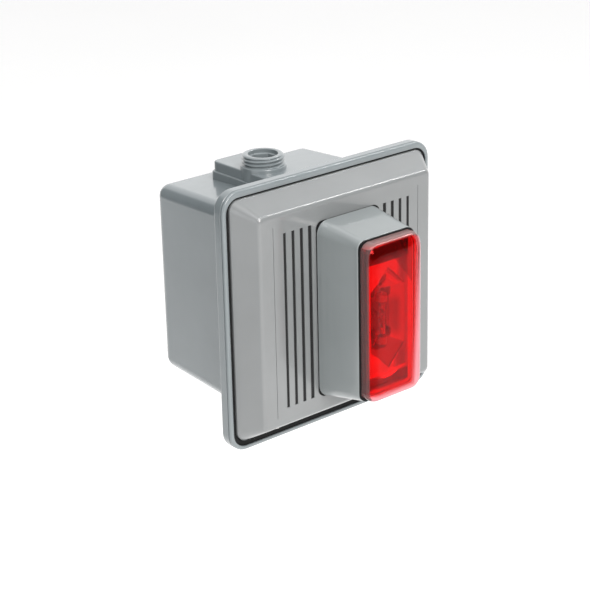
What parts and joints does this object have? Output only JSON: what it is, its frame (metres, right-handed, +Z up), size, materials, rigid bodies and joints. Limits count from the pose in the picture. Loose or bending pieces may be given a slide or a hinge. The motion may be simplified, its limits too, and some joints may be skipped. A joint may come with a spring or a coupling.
{
  "type": "horn strobe",
  "caption": "Weatherproof wall horn strobe: square cast back box with a top conduit nipple, slotted bevelled cover over a vibrating horn, and a red strobe lens on a raised housing.",
  "frame": {"origin": "centre of the box's rear face, on the wall", "axes": "-Y is the front, towards the room; +Y points into the wall; +Z is up; +X is to the right seen from the front"},
  "size_m": [0.13, 0.1228, 0.1315],
  "materials": {
    "grey_paint": "satin, cast metal under grey paint",
    "black_rubber": "matt",
    "red_lens": "clear, red polycarbonate",
    "clear_glass": "clear",
    "bright_reflector": "vacuum-metallised plastic",
    "zinc_steel": "zinc plated",
    "plain_steel": "bright",
    "brass": "bright",
    "green_screw": "green dyed",
    "black_plastic": "moulded",
    "brown_board": "phenolic sheet",
    "copper_winding": "enamelled copper wire",
    "fibre": "pressed fibre",
    "red_component": "dipped",
    "ivory_plastic": "nylon",
    "green_board": "solder resist",
    "blue_sleeve": "shrunk film",
    "yellow_tape": "wound tape",
    "ferrite": "sintered",
    "lead_insulation": "red and black",
    "silicone": "soft"
  },
  "bodies": {
    "base": {"back_box": "grey_paint", "conduit_nipple": "grey_paint", "nipple_locknut": "zinc_steel", "cover_gasket": "black_rubber", "ground_screw": "green_screw", "base_plate": "zinc_steel", "base_plate_screws": "zinc_steel", "magnet_yoke": "zinc_steel", "yoke_screws": "zinc_steel", "coil_bobbin": "black_plastic", "coil_winding": "copper_winding", "magnet_core": "plain_steel", "core_screw": "zinc_steel", "armature_pin": "plain_steel", "return_spring": "brass", "contact_bracket": "brass", "contact_insulator": "brown_board", "bracket_screws": "zinc_steel", "tone_locknut": "brass", "diaphragm_gasket": "fibre", "diaphragm": "plain_steel", "diaphragm_ring": "zinc_steel", "ring_screws": "zinc_steel", "noise_capacitor": "red_component", "terminal_block": "black_plastic", "terminal_screws": "zinc_steel", "coil_leads": "lead_insulation", "supply_leads": "lead_insulation", "strobe_socket": "ivory_plastic"},
    "cover_unit": {"front_cover": "grey_paint", "dust_screens": "black_plastic", "cover_screws": "zinc_steel", "screw_retainers": "black_rubber", "housing_gasket": "black_rubber", "strobe_housing": "grey_paint", "housing_screws": "zinc_steel", "strobe_board": "green_board", "board_screws": "zinc_steel", "storage_capacitor": "blue_sleeve", "trigger_transformer": "yellow_tape", "converter_inductor": "ferrite", "board_components": "red_component", "strobe_plug": "ivory_plastic", "strobe_leads": "lead_insulation", "reflector": "bright_reflector", "flash_tube": "clear_glass", "tube_sleeves": "silicone", "tube_leads": "plain_steel", "trigger_wire": "plain_steel", "lens_gasket": "black_rubber", "strobe_lens": "red_lens"},
    "armature": {"armature": "plain_steel", "striker_pin": "brass", "moving_contact": "brass"},
    "tone_screw": {"tone_screw": "brass"}
  },
  "joints": [
    {"name": "cover_removal", "type": "slide", "parent": "base", "child": "cover_unit", "axis": [0, -1, 0], "range_m": [0, 0.045]},
    {"name": "armature_swing", "type": "hinge", "parent": "base", "child": "armature", "pos_m": [0.018, -0.0632, 0], "axis": [0, 0, -1], "range_deg": [0, 2.4], "stiffness_Nm_per_rad": 0.5, "springref_deg": -1.72, "deforming": ["return_spring"]},
    {"name": "tone_adjustment", "type": "hinge", "parent": "base", "child": "tone_screw", "pos_m": [0.028, -0.0554, 0], "axis": [0, 1, 0], "range_deg": [-180, 180]}
  ]
}
